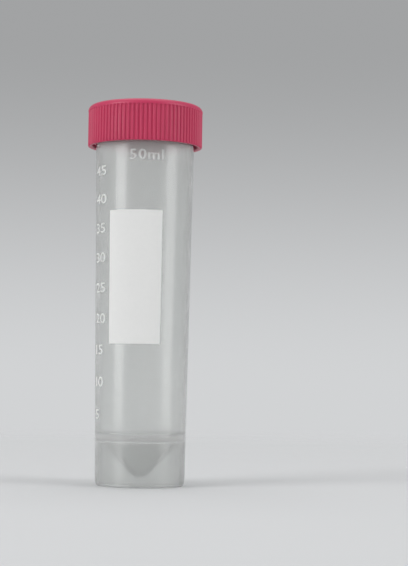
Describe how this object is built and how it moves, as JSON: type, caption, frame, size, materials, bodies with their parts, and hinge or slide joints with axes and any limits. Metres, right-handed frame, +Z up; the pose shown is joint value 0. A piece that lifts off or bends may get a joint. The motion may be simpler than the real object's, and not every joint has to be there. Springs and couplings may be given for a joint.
{
  "type": "50 ml conical tube",
  "caption": "Self-standing conical centrifuge tube in translucent plastic: tapered body, inner cone inside a round skirt, threaded neck, ribbed screw cap and sealing liner.",
  "frame": {"origin": "centre of the plane that the foot ring stands on", "axes": "+Z up the tube's axis towards the cap; -Y is the side of the writing panel"},
  "size_m": [0.035, 0.035, 0.115],
  "materials": {
    "tube_plastic": "translucent natural polypropylene, satin to glossy, with a matt white writing panel and printed graduation numbers",
    "liner_plastic": "off-white soft sealing disc",
    "cap_plastic": "raspberry red moulded polyethylene, satin gloss"
  },
  "bodies": {
    "tube": {"tube": "tube_plastic"},
    "liner": {"cap_liner": "liner_plastic"},
    "cap": {"cap": "cap_plastic"}
  },
  "joints": [
    {"name": "cap_rise", "type": "slide", "parent": "tube", "child": "liner", "axis": [0, 0, 1], "range_m": [0, 0.0201]},
    {"name": "cap_turn", "type": "hinge", "parent": "liner", "child": "cap", "pos_m": [0, 0, 0.108], "axis": [0, 0, 1], "range_deg": [0, 1800]}
  ],
  "couplings": [
    {"joint": "cap_rise", "follows": "cap_turn", "m_per_rad": 0.00063662}
  ]
}
